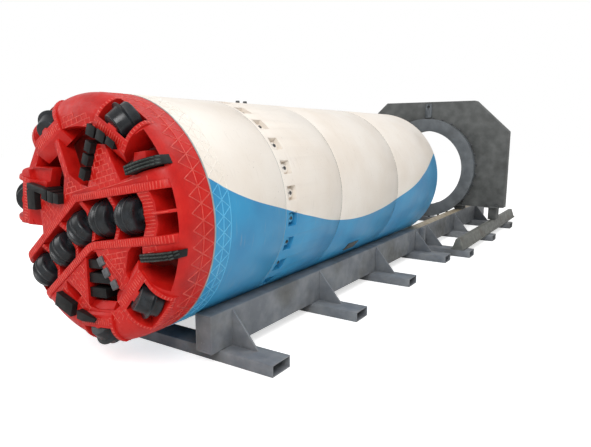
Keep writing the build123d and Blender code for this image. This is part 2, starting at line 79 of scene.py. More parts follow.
# ---------------------------------------------------------------- stations read from the solids
front_low, front_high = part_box("front_can")
steering_low, steering_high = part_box("steering_can")
middle_low, middle_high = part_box("middle_can")
ring_low, ring_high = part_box("thrust_ring")
plate_low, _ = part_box("thrust_plate")
face_low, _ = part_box("head_face")
_, band_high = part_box("head_band")
beam_low, beam_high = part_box("beam_right")
rail_low, rail_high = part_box("outer_rail_right")
seam_y = front_low.y
face_y = face_low.y
axis_z = (front_low.z + front_high.z) / 2
shield_radius = (front_high.x - front_low.x) / 2
centre = Vector((0, 0, axis_z))
front = Vector((0, -1, 0))
rearward = Vector((0, 1, 0))
upward = Vector((0, 0, 1))
sideways = Vector((1, 0, 0))

# ---------------------------------------------------------------- camera
camera_lens = 31.92
camera_right = 2.619
camera_ahead = 2.1235
camera_above = 0.494
camera_tip = 9.67
camera_swing = 32.85
camera_data = bpy.data.cameras.new("camera")
camera_data.sensor_width = 36
camera_data.lens = camera_lens
camera = bpy.data.objects.new("camera", camera_data)
bpy.context.scene.collection.objects.link(camera)
camera.location = (camera_right, seam_y - camera_ahead, axis_z + camera_above)
camera.rotation_euler = (math.radians(90 - camera_tip), 0, math.radians(camera_swing))
bpy.context.scene.camera = camera


# ---------------------------------------------------------------- small tools of the bench
bevelled_from = math.radians(30)
smooth_up_to = math.radians(35)
same_point = 0.00002
same_plane = math.radians(0.8)


def clear_bench():
    """Nothing selected, so that the next operator works on its own piece only."""
    bpy.ops.object.select_all(action="DESELECT")


def take_up(piece):
    """Select one piece alone and make it the active one."""
    clear_bench()
    piece.select_set(True)
    bpy.context.view_layer.objects.active = piece


def settle(piece, matrix=None):
    """Put a piece's place into its mesh and leave the object at the origin."""
    piece.data.transform((matrix or Matrix.Identity(4)) @ piece.matrix_world)
    piece.matrix_world = Matrix.Identity(4)
    return piece


def soften(piece, width=0.0):
    """Take the sharp edges off with a bevel and smooth what is curved."""
    take_up(piece)
    if width:
        bevel = piece.modifiers.new("edge", "BEVEL")
        bevel.width = width
        bevel.segments = 2
        bevel.limit_method = "ANGLE"
        bevel.angle_limit = bevelled_from
        bpy.ops.object.modifier_apply(modifier=bevel.name)
    bpy.ops.object.shade_smooth_by_angle(angle=smooth_up_to)
    return piece


def finish_piece(piece, name, material, body):
    """Name, paint and hang a piece on the body that it moves with."""
    piece.name = name
    piece.data.materials.clear()
    piece.data.materials.append(material)
    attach(piece, body)
    return piece


def eased_copy(node, width, material):
    """Stand-in for a solid with the same shape, its edges eased as grinding leaves them."""
    source = nodes[node]
    piece = bpy.data.objects.new(node + "_dressed", source.data.copy())
    bpy.context.scene.collection.objects.link(piece)
    take_up(piece)
    bpy.ops.object.mode_set(mode="EDIT")
    bpy.ops.mesh.select_all(action="SELECT")
    bpy.ops.mesh.remove_doubles(threshold=same_point)
    bpy.ops.mesh.dissolve_limited(angle_limit=same_plane)
    bpy.ops.object.mode_set(mode="OBJECT")
    soften(piece, width)
    body = source["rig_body"]
    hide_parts(node)
    return finish_piece(piece, node + "_dressed", material, body)


def lathe(stations, sides, fill):
    """Turn a shape about local Z through (height, radius) stations, starting from one circle."""
    clear_bench()
    height, radius = stations[0]
    bpy.ops.mesh.primitive_circle_add(
        vertices=sides, radius=radius, fill_type=fill, location=(0, 0, height)
    )
    piece = bpy.context.object
    bpy.ops.object.mode_set(mode="EDIT")
    bpy.ops.mesh.select_mode(type="VERT")
    bpy.ops.mesh.select_all(action="SELECT")
    for next_height, next_radius in stations[1:]:
        bpy.ops.mesh.extrude_region_move(TRANSFORM_OT_translate={"value": (0, 0, next_height - height)})
        ratio = next_radius / radius
        bpy.ops.transform.resize(value=(ratio, ratio, 1), center_override=(0, 0, next_height))
        height, radius = next_height, next_radius
    bpy.ops.mesh.select_all(action="SELECT")
    bpy.ops.mesh.remove_doubles(threshold=0.00001)
    bpy.ops.mesh.normals_make_consistent(inside=False)
    bpy.ops.object.mode_set(mode="OBJECT")
    return settle(piece)


def turned(stations, sides):
    """Turn a solid piece, closed by a disc at its first and last station."""
    return lathe(stations, sides, "NGON")


def hoop(stations, sides):
    """Turn a ring: its stations close on themselves."""
    return lathe([*stations, stations[0]], sides, "NOTHING")


def slab(size, inset=0.0, raised=0.0):
    """A plate or block about the origin, its top face drawn in and raised as a pad."""
    clear_bench()
    bpy.ops.mesh.primitive_cube_add(size=1, scale=size)
    piece = settle(bpy.context.object)
    if inset:
        bpy.ops.object.mode_set(mode="EDIT")
        bpy.ops.mesh.select_mode(type="FACE")
        bpy.ops.mesh.select_all(action="DESELECT")
        bpy.ops.object.mode_set(mode="OBJECT")
        for face in piece.data.polygons:
            face.select = face.normal.z > 0.9
        bpy.ops.object.mode_set(mode="EDIT")
        bpy.ops.mesh.inset(thickness=inset)
        bpy.ops.transform.translate(value=(0, 0, raised))
        bpy.ops.object.mode_set(mode="OBJECT")
    return piece


def joined(pieces):
    """Join pieces into the first of them."""
    clear_bench()
    for piece in pieces:
        piece.select_set(True)
    bpy.context.view_layer.objects.active = pieces[0]
    if len(pieces) > 1:
        bpy.ops.object.join()
    return bpy.context.view_layer.objects.active


def copies(template, places, keep=False):
    """Copy a piece to every place, each copy with its own mesh, and join them into one."""
    made = []
    for matrix in places:
        mesh = template.data.copy()
        mesh.transform(matrix)
        piece = bpy.data.objects.new(template.name, mesh)
        bpy.context.scene.collection.objects.link(piece)
        made.append(piece)
    if not keep:
        bpy.data.objects.remove(template)
    return joined(made)


def seat(origin, along, up, size=(1, 1, 1)):
    """Matrix whose local X lies along one direction and local Z up another, scaled by size."""
    along = along.normalized()
    side = up.cross(along).normalized()
    up = along.cross(side)
    turn = Matrix((along * size[0], side * size[1], up * size[2])).transposed().to_4x4()
    return Matrix.Translation(origin) @ turn


def axle_seat(joint):
    """Matrix that lays local Z along a joint's axis, with the origin on the joint."""
    axis = Vector(joint["axis"]).normalized()
    turn = axis.to_track_quat("Z", "Y").to_matrix().to_4x4()
    return Matrix.Translation(Vector(joint["pos_m"])) @ turn


def weld_run():
    """One short weld run of unit length, width and height, tapered at both ends."""
    taper = 0.12
    clear_bench()
    bpy.ops.mesh.primitive_cylinder_add(
        vertices=6, radius=0.5, depth=1 - 2 * taper, rotation=(0, math.pi / 2, 0)
    )
    piece = settle(bpy.context.object)
    for end in (-1, 1):
        bpy.ops.object.mode_set(mode="EDIT")
        bpy.ops.mesh.select_mode(type="FACE")
        bpy.ops.mesh.select_all(action="DESELECT")
        bpy.ops.object.mode_set(mode="OBJECT")
        for face in piece.data.polygons:
            face.select = face.normal.x * end > 0.9
        bpy.ops.object.mode_set(mode="EDIT")
        bpy.ops.mesh.extrude_region_move(TRANSFORM_OT_translate={"value": (taper * end, 0, 0)})
        bpy.ops.transform.resize(value=(1, 0.45, 0.4), center_override=(0.5 * end, 0, 0))
        bpy.ops.object.mode_set(mode="OBJECT")
    bpy.ops.object.shade_smooth()
    return piece


def hex_bolt(across, height):
    """A hexagon bolt head on its washer, standing on local Z = 0."""
    thickness = 0.003
    washer = turned([(0, across * 0.62), (thickness, across * 0.62)], 20)
    head = turned(
        [(thickness, across * 0.56), (height * 0.85, across * 0.56), (height, across * 0.46)], 6
    )
    return joined([head, washer])


def skin_of(node):
    """Search tree over a solid's surface, to lay welds and bolts on it."""
    mesh = nodes[node].data
    points = [vertex.co for vertex in mesh.vertices]
    return BVHTree.FromPolygons(points, [list(face.vertices) for face in mesh.polygons])


def seen_from_front(skin, spot):
    """Where a line along the machine through a spot first meets a skin, and the normal there."""
    hit, normal, _, _ = skin.ray_cast(Vector((spot.x, solid_low.y - 0.1, spot.z)), rearward)
    return hit, normal


def backed(places, names):
    """Keep the places whose two ends lie on the skin of one of the named solids."""
    reach = 0.004
    skins = [skin_of(name) for name in names]
    kept = []
    for place in places:
        ends = [place @ Vector((x, 0, 0)) for x in (-0.45, 0.45)]
        if all(any(skin.find_nearest(end)[3] < reach for skin in skins) for end in ends):
            kept.append(place)
    return kept


# ---------------------------------------------------------------- colour and node tools
def colour(code):
    """Linear colour of an sRGB hex value."""
    parts = [int(code[i:i + 2], 16) / 255 for i in (1, 3, 5)]
    return (*[p / 12.92 if p <= 0.04045 else ((p + 0.055) / 1.055) ** 2.4 for p in parts], 1.0)


def add(tree, kind, inputs=None, **settings):
    """Add a node with its settings; an input is a value or another node's output."""
    made = tree.nodes.new(kind)
    for name, value in settings.items():
        setattr(made, name, value)
    for socket, value in (inputs or {}).items():
        if isinstance(value, bpy.types.NodeSocket):
            tree.links.new(value, made.inputs[socket])
        else:
            made.inputs[socket].default_value = value
    return made


def new_finish(name, roughness, metallic=0.0):
    """A material with its shader's constants set and its object coordinates at hand."""
    material = bpy.data.materials.new(name)
    material.use_nodes = True
    tree = material.node_tree
    shader = tree.nodes["Principled BSDF"]
    shader.inputs["Roughness"].default_value = roughness
    shader.inputs["Metallic"].default_value = metallic
    spot = add(tree, "ShaderNodeTexCoord").outputs["Object"]
    return material, tree, shader, spot


def set_gloss(material, level):
    """Set how strongly a finish mirrors the light."""
    material.node_tree.nodes["Principled BSDF"].inputs["Specular IOR Level"].default_value = level


def blended(tree, factor, first, second):
    """Mix two colours by a factor and give the result."""
    made = add(tree, "ShaderNodeMix", {0: factor, 6: first, 7: second}, data_type="RGBA")
    return made.outputs[2]


def banded(tree, value, low, high, to_low=0.0, to_high=1.0):
    """Map a value from one range to another, held at the ends."""
    made = add(
        tree, "ShaderNodeMapRange",
        {"Value": value, "From Min": low, "From Max": high, "To Min": to_low, "To Max": to_high},
    )
    return made.outputs["Result"]


def sum_of(tree, operation, first, second=0.0):
    """One arithmetic step on values."""
    return add(tree, "ShaderNodeMath", {0: first, 1: second}, operation=operation).outputs[0]


def grain(tree, spot, size, detail=3.0, stretch=None):
    """Noise whose features are about as large as the given size in metres."""
    if stretch:
        spot = add(tree, "ShaderNodeMapping", {"Vector": spot, "Scale": stretch}).outputs[0]
    noise = add(tree, "ShaderNodeTexNoise", {"Vector": spot, "Scale": 1 / size, "Detail": detail})
    return noise.outputs[0]


def raise_by(tree, shader, height, strength, distance):
    """Feed a height pattern to the shader's normal."""
    bump = add(tree, "ShaderNodeBump", {"Height": height, "Strength": strength, "Distance": distance})
    tree.links.new(bump.outputs[0], shader.inputs["Normal"])


def painted_steel(name, main, light, dark, roughness, blotch, orange_peel, lumps):
    """Brushed or sprayed enamel over rolled plate: blotches, rubbed lighter spots and settled dirt.

    blotch and orange_peel are the sizes of those patterns, lumps is the height of the peel."""
    scuff_size = 0.022
    wear_size = 0.05
    material, tree, shader, spot = new_finish(name, roughness)
    cloud = banded(tree, grain(tree, spot, blotch, 4.0), 0.38, 0.66)
    tint = blended(tree, cloud, colour(main), colour(light))
    dirt = banded(tree, grain(tree, spot, blotch * 3.4, 6.0), 0.52, 0.72, 0.0, 0.75)
    tint = blended(tree, dirt, tint, colour(dark))
    scuffs = banded(tree, grain(tree, spot, scuff_size, 2.0), 0.66, 0.74, 0.0, 0.45)
    tint = blended(tree, scuffs, tint, colour(light))
    tree.links.new(tint, shader.inputs["Base Color"])
    wear = banded(tree, grain(tree, spot, wear_size, 3.0), 0.3, 0.7, roughness - 0.08, roughness + 0.12)
    tree.links.new(wear, shader.inputs["Roughness"])
    raise_by(tree, shader, grain(tree, spot, orange_peel, 3.0), 0.5, lumps)
    return material


# ---------------------------------------------------------------- finishes
# Alkyd enamel brushed over rough hardfaced plate: a warm signal red, duller where slurry has dried.
red_enamel = painted_steel(
    "red_alkyd_enamel", "#C4140F", "#CD1F17", "#A3110D",
    0.42, blotch=0.07, orange_peel=0.011, lumps=0.0022
)
set_gloss(red_enamel, 0.3)
# The same enamel on raised weld metal, painted lighter than the plate as a highlight on the beads.
red_weld_painted_highlight = painted_steel(
    "red_enamel_on_weld_metal_painted_highlight", "#D6372C", "#E4594C", "#BC251C",
    0.4, blotch=0.03, orange_peel=0.006, lumps=0.0012
)
# Enamel inside the muck chamber: painted darker as the shade deep in the chamber, and duller.
red_chamber_painted_shade = painted_steel(
    "red_enamel_painted_chamber_shade", "#93201A", "#A52A22", "#5C1713",
    0.55, blotch=0.08, orange_peel=0.012, lumps=0.002
)
# Machinery grey enamel on hollow sections: soft satin with pale rubbed spots and brown dust.
cradle_grey = painted_steel(
    "grey_machinery_enamel", "#6E7278", "#84878A", "#57554F",
    0.5, blotch=0.12, orange_peel=0.01, lumps=0.0008
)
# Matt dark grey primer on flame-cut plate: almost black in its hollows.
plate_grey = painted_steel(
    "dark_grey_primer", "#4E504F", "#626463", "#393A38",
    0.62, blotch=0.1, orange_peel=0.009, lumps=0.0007
)
# Rolled rail steel with thin grey paint, worn to brown where the shoes slide.
rail_steel = painted_steel(
    "worn_rail_steel", "#5B5D59", "#6F706A", "#4C453B",
    0.5, blotch=0.06, orange_peel=0.01, lumps=0.0008
)
# Blue-grey enamel of the pressure ring, rubbed smooth where pipe ends bear on it.
ring_grey = painted_steel(
    "blue_grey_ring_enamel", "#5F6468", "#6E7377", "#4A4D4F",
    0.48, blotch=0.1, orange_peel=0.009, lumps=0.0006
)
# Zinc-rich sealant in the seam between head and shield: pale grey and matt.
seam_grey = painted_steel(
    "zinc_rich_sealant", "#9AA09F", "#ACB1AF", "#7C807F",
    0.6, blotch=0.04, orange_peel=0.006, lumps=0.0004
)
# The enamel on hardfacing lines round the rim: a shade lighter than the skin, a painted highlight on
# the beads.
rim_weld_painted_highlight = painted_steel(
    "red_enamel_on_rim_beads_painted_highlight", "#D03A30", "#DC564A", "#B52A21",
    0.4, blotch=0.03, orange_peel=0.006, lumps=0.001
)
# Primer grey on the closed rear wall and pipes.
primer_grey = painted_steel(
    "zinc_phosphate_primer", "#7C8082", "#92979A", "#5B5C5A",
    0.6, blotch=0.1, orange_peel=0.009, lumps=0.0006
)
# Blue machine enamel on the drive housing.
drive_blue = painted_steel(
    "blue_drive_enamel", "#2A5B93", "#3C6FA6", "#1E3F66",
    0.42, blotch=0.1, orange_peel=0.009, lumps=0.0006
)
# Hot-forged bearing steel, quenched and oiled: near black with a cool satin sheen.
forged_black = painted_steel(
    "oiled_forged_steel", "#15171A", "#23282D", "#0E0F10",
    0.3, blotch=0.045, orange_peel=0.008, lumps=0.0006
)
set_gloss(forged_black, 0.38)
# Cast hard steel of the scraper blocks: black, dry and a little rough.
cast_black = painted_steel(
    "cast_scraper_steel", "#0F1011", "#1A1B1B", "#080808",
    0.5, blotch=0.04, orange_peel=0.008, lumps=0.0012
)
set_gloss(cast_black, 0.22)
# Hard steel bars with a grey-green heat tint.
bar_green = painted_steel(
    "heat_tinted_bar_steel", "#1F2622", "#313A35", "#151917",
    0.42, blotch=0.04, orange_peel=0.008, lumps=0.0008
)
# Sintered carbide set into steel: dark grey, dense and dull.
carbide_grey = painted_steel(
    "sintered_carbide", "#4C4E51", "#626568", "#393A3B",
    0.45, blotch=0.02, orange_peel=0.006, lumps=0.0006
)
# Black oxide bolts, oily.
bolt_black = painted_steel(
    "black_oxide_bolt", "#3A3B3D", "#55585B", "#2A2A2B",
    0.38, blotch=0.02, orange_peel=0.006, lumps=0.0004
)
# Nitrile rubber in the shield joint.
seal_rubber = painted_steel(
    "nitrile_rubber", "#202122", "#2B2C2D", "#181818",
    0.65, blotch=0.05, orange_peel=0.006, lumps=0.0004
)


def beam_enamel():
    """The cradle's grey, rubbed to bare, rust-bloomed steel on top where the pipes have slid."""
    bare_from = seam_y + 3.75
    material = painted_steel(
        "grey_enamel_worn_on_top", "#6E7278", "#84878A", "#57554F",
        0.5, blotch=0.12, orange_peel=0.01, lumps=0.0008
    )
    tree = material.node_tree
    shader = tree.nodes["Principled BSDF"]
    painted = shader.inputs["Base Color"].links[0].from_socket
    surface = add(tree, "ShaderNodeNewGeometry")
    facing_up = add(tree, "ShaderNodeSeparateXYZ", {0: surface.outputs["Normal"]}).outputs[2]
    spot = add(tree, "ShaderNodeTexCoord").outputs["Object"]
    along = add(tree, "ShaderNodeSeparateXYZ", {0: spot}).outputs[1]
    ragged = sum_of(tree, "ADD", along, sum_of(tree, "MULTIPLY", grain(tree, spot, 0.08, 4.0), 0.5))
    rear = banded(tree, ragged, bare_from, bare_from + 0.2)
    top = banded(tree, facing_up, 0.85, 0.95)
    bare = sum_of(tree, "MULTIPLY", sum_of(tree, "MULTIPLY", top, rear), 0.85)
    bloom = banded(tree, grain(tree, spot, 0.04, 5.0), 0.4, 0.62)
    rust = blended(tree, bloom, colour("#B3A98F"), colour("#8A7354"))
    tree.links.new(blended(tree, bare, painted, rust), shader.inputs["Base Color"])
    return material


beam_grey = beam_enamel()


# The wave between the two colours: it starts at the front seam and swings between two angles.
wave_length = 3.8
wave_lowest = math.radians(-18)
wave_highest = math.radians(25)
wave_points = [
    # share of the length, share of the way from the lowest to the highest angle
    (0.079, 0.644), (0.182, 0.437), (0.263, 0.286), (0.395, 0.102), (0.5, 0.053),
    (0.587, 0.088), (0.703, 0.226), (0.789, 0.34), (0.876, 0.544), (0.966, 0.837),
]
wave_ends = (0.914, 0.949)


def shield_enamel(name, creams, blues, streaks):
    """Gloss polyurethane in two colours, parted by one long wave, with handling marks and dust."""
    material, tree, shader, spot = new_finish(name, 0.34)
    parts = add(tree, "ShaderNodeSeparateXYZ", {0: spot})
    across = sum_of(tree, "ABSOLUTE", parts.outputs[0])
    height = sum_of(tree, "SUBTRACT", parts.outputs[2], axis_z)
    angle = sum_of(tree, "ARCTAN2", height, across)
    along = banded(tree, parts.outputs[1], seam_y, seam_y + wave_length)
    wave = add(tree, "ShaderNodeFloatCurve", {"Value": along})
    curve = wave.mapping.curves[0]
    curve.points[0].location = (0.0, wave_ends[0])
    curve.points[1].location = (1.0, wave_ends[1])
    for place, level in wave_points:
        curve.points.new(place, level)
    wave.mapping.update()
    edge = banded(tree, wave.outputs[0], 0.0, 1.0, wave_lowest, wave_highest)
    lower = banded(tree, sum_of(tree, "SUBTRACT", edge, angle), -0.002, 0.002)
    fade = banded(tree, grain(tree, spot, 0.35, 4.0), 0.35, 0.7)
    cream = blended(tree, fade, colour(creams[0]), colour(creams[1]))
    blue = blended(tree, fade, colour(blues[0]), colour(blues[1]))
    tint = blended(tree, lower, cream, blue)
    streak = banded(tree, grain(tree, spot, 0.05, 5.0, (0.5, 3.0, 0.35)), 0.6, 0.8, 0.0, 0.2)
    tint = blended(tree, streak, tint, colour(streaks))
    specks = banded(tree, grain(tree, spot, 0.012, 2.0), 0.7, 0.76, 0.0, 0.35)
    tint = blended(tree, specks, tint, colour("#8E8474"))
    tree.links.new(tint, shader.inputs["Base Color"])
    gloss = banded(tree, grain(tree, spot, 0.16, 3.0), 0.3, 0.7, 0.28, 0.44)
    tree.links.new(gloss, shader.inputs["Roughness"])
    raise_by(tree, shader, grain(tree, spot, 0.18, 3.0), 0.35, 0.004)
    return material


shield_coat = shield_enamel(
    "two_colour_polyurethane", ("#F4ECE2", "#EDE2D5"), ("#3499CA", "#2C87BA"), "#B7AA98"
)
# The same coat on raised metal: a shade lighter, a painted highlight for the light it catches.
bead_coat_painted_highlight = shield_enamel(
    "two_colour_polyurethane_on_beads_painted_highlight", ("#FAF4EC", "#F0E6DA"), ("#62BEE6", "#50AEDA"), "#C9BCAA"
)

# ---------------------------------------------------------------- shield cans
can_edges = {"front_can": 0.002, "steering_can": 0.0025, "middle_can": 0.002, "tail_can": 0.003}
for can, width in can_edges.items():
    eased_copy(can, width, shield_coat)
eased_copy("pocket_bolts", 0.002, bolt_black)

unit_run = weld_run()
hatch_count = 50
run_overlap = 1.08
bead_width = 0.007
bead_height = 0.0046


def shell_spot(angle, y, lift=0.0):
    """A point on the shield's outer skin and the outward direction there."""
    outward = Vector((math.cos(angle), 0, math.sin(angle)))
    return centre + outward * (shield_radius + lift) + Vector((0, y, 0)), outward


def shell_hatching(rows):
    """Places of zigzag hardfacing runs on the cylindrical skin: rows are (start, stop) stations.

    Each diagonal is two runs, so that it follows the curve.  Every other row is shifted by half
    a pitch, so that the zigzags close diamonds."""
    places = []
    pitch = 2 * math.pi / hatch_count
    for number, (begin, stop) in enumerate(rows):
        for index in range(hatch_count):
            for lean in (-1, 1):
                start = pitch * (index + number % 2 / 2)
                for half in (0.25, 0.75):
                    angle = start + lean * pitch / 2 * half
                    point, outward = shell_spot(angle, begin + (stop - begin) * half)
                    around = Vector((-outward.z, 0, outward.x)) * lean
                    direction = around * pitch * shield_radius / 2 + Vector((0, stop - begin, 0))
                    size = (direction.length / 2 * run_overlap, bead_width, bead_height)
                    places.append(seat(point, direction, outward, size))
    return places


def shell_rings(stations):
    """Places of hardfacing runs that make rings round the skin."""
    pieces = 72
    overlap = 1.15
    size = (overlap * 2 * math.pi * shield_radius / pieces, bead_width, bead_height)
    places = []
    for y in stations:
        for index in range(pieces):
            angle = 2 * math.pi * index / pieces
            point, outward = shell_spot(angle, y)
            around = Vector((-outward.z, 0, outward.x))
            places.append(seat(point, around, outward, size))
    return places


shoulder_depth = 0.128
rim_start = face_y + shoulder_depth
rim_end = band_high.y - 0.006
rim_middle = (rim_start + rim_end) / 2
rim_places = shell_hatching([(rim_start, rim_middle), (rim_middle, rim_end)])
rim_places += shell_rings([rim_middle])
rim_runs = copies(unit_run, backed(rim_places, ("head_face", "head_band")), keep=True)
finish_piece(rim_runs, "rim_hardfacing", rim_weld_painted_highlight, "cutterhead")
collar_start = seam_y + 0.01
collar_middle = seam_y + 0.07
collar_end = seam_y + 0.13
collar_places = shell_hatching([(collar_start, collar_middle), (collar_middle, collar_end)])
collar_places += shell_rings([collar_middle, collar_end + 0.004])
collar_runs = copies(unit_run, collar_places, keep=True)
finish_piece(collar_runs, "collar_hardfacing", bead_coat_painted_highlight, "front_shield")

# the rubber seal in the steering joint's gap, and thin lines of sealant in the other seams
seam_depth = 0.012
across_axis = Matrix.Translation(centre) @ Matrix.Rotation(math.radians(-90), 4, "X")
for name, begin, stop, lift, material, body in (
    # first and last station, and how far the band stands above the skin
    ("joint_seal", steering_high.y + 0.0004, steering_high.y + 0.0056, -0.0012, seal_rubber, "cradle"),
    ("girth_seam", middle_high.y - 0.0012, middle_high.y + 0.0012, 0.0004, seal_rubber, "cradle"),
    ("flange_seam", steering_low.y - 0.001, steering_low.y + 0.001, 0.0004, seam_grey, "front_shield"),
    ("head_seam", front_low.y - 0.0055, front_low.y + 0.004, 0.0012, seam_grey, "front_shield"),
):
    band = hoop([
        (begin, shield_radius + lift), (stop, shield_radius + lift),
        (stop, shield_radius - seam_depth), (begin, shield_radius - seam_depth),
    ], 144)
    finish_piece(soften(settle(band, across_axis)), name, material, body)

# socket bolts on washers in the floor of every pocket
pocket_count = 26
pocket_start = math.radians(-5.1)
pocket_y = steering_low.y + 0.098
washer = turned([(-0.002, 0.032), (0.024, 0.032), (0.029, 0.027)], 24)
socket = turned([
    (0.027, 0.0125), (0.034, 0.0125), (0.0355, 0.0112), (0.0355, 0.0065), (0.030, 0.006),
], 20)
pocket_skin = skin_of("steering_can")
washer_places = []
for index in range(pocket_count):
    start, outward = shell_spot(pocket_start + 2 * math.pi * index / pocket_count, pocket_y, 0.05)
    floor_spot = pocket_skin.ray_cast(start, -outward)[0]
    washer_places.append(seat(floor_spot, rearward, outward))
washers = soften(copies(washer, washer_places))
# the washers take the lighter coat, a painted highlight that parts them from the pocket floor
finish_piece(washers, "pocket_washers", bead_coat_painted_highlight, "front_shield")
sockets = soften(copies(socket, washer_places))
finish_piece(sockets, "pocket_sockets", bolt_black, "front_shield")

# two small hoist lugs on the crown, behind the flange
lug = soften(slab((0.034, 0.010, 0.016), 0.003, 0.004), 0.002)
lug_places = []
for y in (steering_low.y + 0.42, steering_low.y + 0.51):
    point, outward = shell_spot(math.radians(90), y, 0.007)
    lug_places.append(seat(point, sideways, outward))
finish_piece(copies(lug, lug_places), "crown_lugs", bolt_black, "front_shield")

# a flat port cover low on each side of the rear body
cover_angle = math.radians(-41)
cover_y = middle_low.y + 0.51
for name, side in (("port_cover_right", 1), ("port_cover_left", -1)):
    cover = soften(slab((0.19, 0.085, 0.008), 0.016, -0.004), 0.002)
    point, outward = shell_spot(cover_angle, cover_y, 0.003)
    outward = Vector((outward.x * side, 0, outward.z))
    settle(cover, seat(Vector((point.x * side, point.y, point.z)), rearward, outward))
    finish_piece(cover, name, plate_grey, "cradle")

# ---------------------------------------------------------------- cutterhead
head_edges = {
    "head_face": 0.004, "head_band": 0.002, "slot_housing": 0.004, "gauge_housings": 0.005,
    "cutter_saddles": 0.004,
}
for name, width in head_edges.items():
    eased_copy(name, width, red_enamel)
# the crusher cone deep in the chamber takes the darker red, painted shade
eased_copy("crusher_cone", 0.0, red_chamber_painted_shade)
eased_copy("face_scrapers", 0.005, cast_black)

# cutters turned on their axles: stations are height along the axle and radius
twin_half = [
    (0.006, 0.0958), (0.0145, 0.1025), (0.0185, 0.109), (0.0255, 0.109), (0.0285, 0.1035),
    (0.032, 0.1015), (0.042, 0.0992), (0.056, 0.0955), (0.068, 0.0905), (0.0722, 0.085),
    (0.0738, 0.076), (0.0738, 0.03),
]
twin_ridge = [(-height, radius) for height, radius in reversed(twin_half)] + twin_half
single_ridge = [
    (-0.0758, 0.03), (-0.0758, 0.064), (-0.0742, 0.074), (-0.0705, 0.0775), (-0.045, 0.0822),
    (-0.018, 0.0868), (-0.0085, 0.0905), (-0.005, 0.098), (-0.0026, 0.1095), (0.0026, 0.1095),
    (0.005, 0.098), (0.0085, 0.0905), (0.018, 0.0875), (0.052, 0.0875), (0.0562, 0.085),
    (0.0578, 0.075), (0.0578, 0.03),
]
cutter_numbers = range(1, 6)
for kind, profile in (("disc_cutter", twin_ridge), ("gauge_cutter", single_ridge)):
    for index in cutter_numbers:
        name = f"{kind}_{index}"
        roller = settle(turned(profile, 56), axle_seat(joints[name + "_spin"]))
        take_up(roller)
        bpy.ops.object.shade_smooth_by_angle(angle=math.radians(28))
        finish_piece(roller, name + "_turned", forged_black, name)
        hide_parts(name)

# three ribs along each long scraper bar leave the grooves between them
bar_skin = skin_of("face_scrapers")
rib_pieces = 9
steps_in_bar = 9.6
runs_in_bar = 8.2
rib_places = []
for x, height, length, turn in ((0.528, 0.342, 0.226, 17), (0.622, -0.122, 0.236, 9.5)):
    along = Vector((math.cos(math.radians(turn)), 0, math.sin(math.radians(turn))))
    across = Vector((-along.z, 0, along.x))
    for lane in (-0.017, 0.0, 0.017):
        for step in range(rib_pieces):
            spot = centre + Vector((x, 0, height)) + across * lane
            spot += along * length * (step - 4) / steps_in_bar
            hit, normal = seen_from_front(bar_skin, spot)
            if hit is not None and hit.y < face_y + 0.09:
                lay = (along - normal * along.dot(normal)).normalized()
                rib_places.append(seat(hit, lay, normal, (length / runs_in_bar, 0.010, 0.010)))
ribs = copies(unit_run, rib_places, keep=True)
finish_piece(ribs, "bar_ribs", bar_green, "cutterhead")

# weld runs across the flanges of the bent slot
right_arm = Vector(joints["disc_cutter_5_spin"]["axis"]).normalized()
left_arm = Vector(joints["disc_cutter_1_spin"]["axis"]).normalized()
slot_half = 0.118
flange_width = 0.045
flange_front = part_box("slot_housing")[0].y
bend_half = math.acos(max(-1, min(1, -(right_arm.dot(left_arm))))) / 2
bend_radius = 0.330
towards_bend = (right_arm + left_arm).normalized()
bend_centre = centre + towards_bend * bend_radius / math.cos(bend_half)
run_pitch = 0.0185
arm_end = 0.7
flange_rake = 0.05
flange_skin = skin_of("slot_housing")
flange_places = []
mid_offset = slot_half + flange_width / 2


def flange_spot(point, across):
    """Place one run across the flange at a point on its middle line, if there is flange under it."""
    hit, normal = seen_from_front(flange_skin, point)
    if hit is not None and hit.y - flange_front < flange_rake and normal.y < -0.6:
        slope = (across - normal * across.dot(normal)).normalized()
        size = (flange_width * 0.88, bead_width, bead_height)
        flange_places.append(seat(hit, slope, normal, size))


for arm in (right_arm, left_arm):
    side = arm.cross(front).normalized()
    if side.dot(towards_bend) < 0:
        side = -side
    straight = bend_radius * math.tan(bend_half)
    distance = straight
    while (arm * distance + side * mid_offset).length < arm_end:
        flange_spot(centre + arm * distance + side * mid_offset, side)
        distance += run_pitch
    distance = -mid_offset * math.tan(bend_half) + 0.01
    while (arm * distance - side * mid_offset).length < arm_end:
        flange_spot(centre + arm * distance - side * mid_offset, side)
        distance += run_pitch
inner_bend = bend_radius - mid_offset
turns = int(2 * bend_half * inner_bend / run_pitch)
for index in range(turns):
    swing = -bend_half + (index + 0.5) * 2 * bend_half / turns
    outward = Matrix.Rotation(swing, 3, front) @ -towards_bend
    flange_spot(bend_centre + outward * inner_bend, outward)
flange_welds = copies(unit_run, flange_places, keep=True)
finish_piece(flange_welds, "slot_flange_hardfacing", red_weld_painted_highlight, "cutterhead")

# hardfacing laid like brickwork on the flat face plates: long courses with staggered cross runs
face_skin = skin_of("head_face")
face_flatness = 0.001
course_pitch = 0.03
brick_length = 0.046
brick_overlap = 1.1
course_width = 0.0056
course_height = 0.004
lower_left_heading = -38
upper_heading = 14
face_places = []


def on_face(spot, lay, length):
    """True where both ends and the middle of a run lie on the flat front of the face plate."""
    for share in (-0.55, 0, 0.55):
        hit, _ = seen_from_front(face_skin, centre + spot + lay * length * share)
        if hit is None or abs(hit.y - face_y) > face_flatness:
            return False
    return True


def face_spot(spot):
    """The point of the face plane at a place measured from the machine axis."""
    return Vector((spot.x, face_y, spot.z + axis_z))


